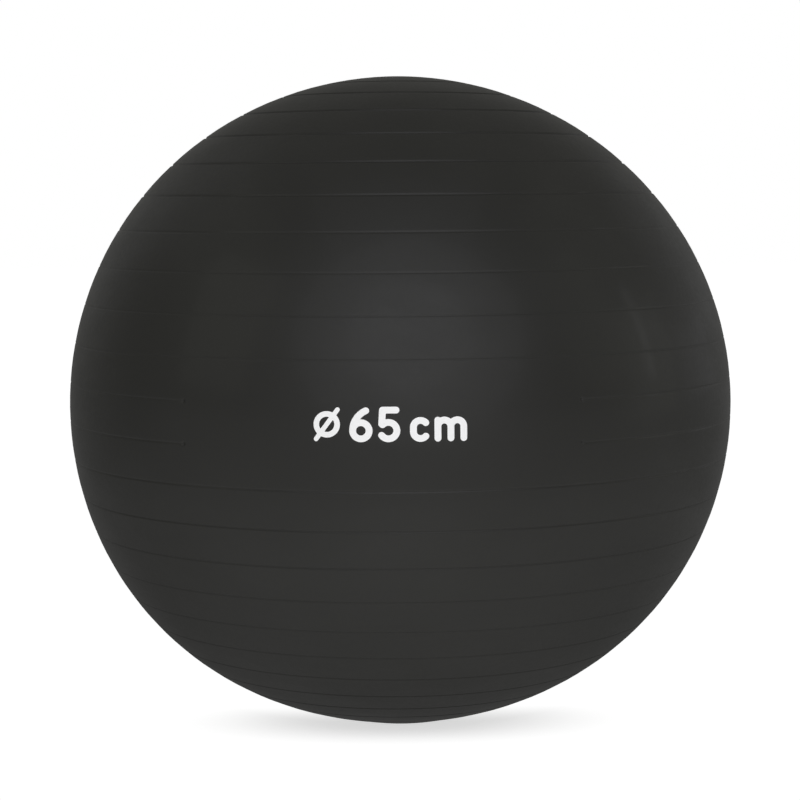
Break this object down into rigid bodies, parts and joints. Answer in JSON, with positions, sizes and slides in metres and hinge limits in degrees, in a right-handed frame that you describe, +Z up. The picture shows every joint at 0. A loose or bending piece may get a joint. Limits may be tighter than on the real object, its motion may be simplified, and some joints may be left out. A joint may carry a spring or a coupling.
{
  "type": "exercise ball",
  "caption": "Inflatable exercise ball: matte skin with ring grooves, a plain panel at the front, and a push-in stopper valve in a recessed cup at the back.",
  "frame": {"origin": "centre of the flat patch where the ball rests on the floor", "axes": "+Z up through the ball's centre, -Y towards the plain front panel, +Y outwards through the valve at the back, +X to the right seen from the front"},
  "size_m": [0.6496, 0.6495, 0.6346],
  "materials": {
    "skin": "satin",
    "seat": "satin",
    "plug": "satin",
    "print": "satin"
  },
  "bodies": {
    "ball": {"ball_shell": "skin", "valve_seat": "seat"},
    "plug": {"valve_plug": "plug"}
  },
  "joints": [
    {"name": "plug_pull", "type": "slide", "parent": "ball", "child": "plug", "axis": [0, 1, 0], "range_m": [0, 0.04]}
  ]
}
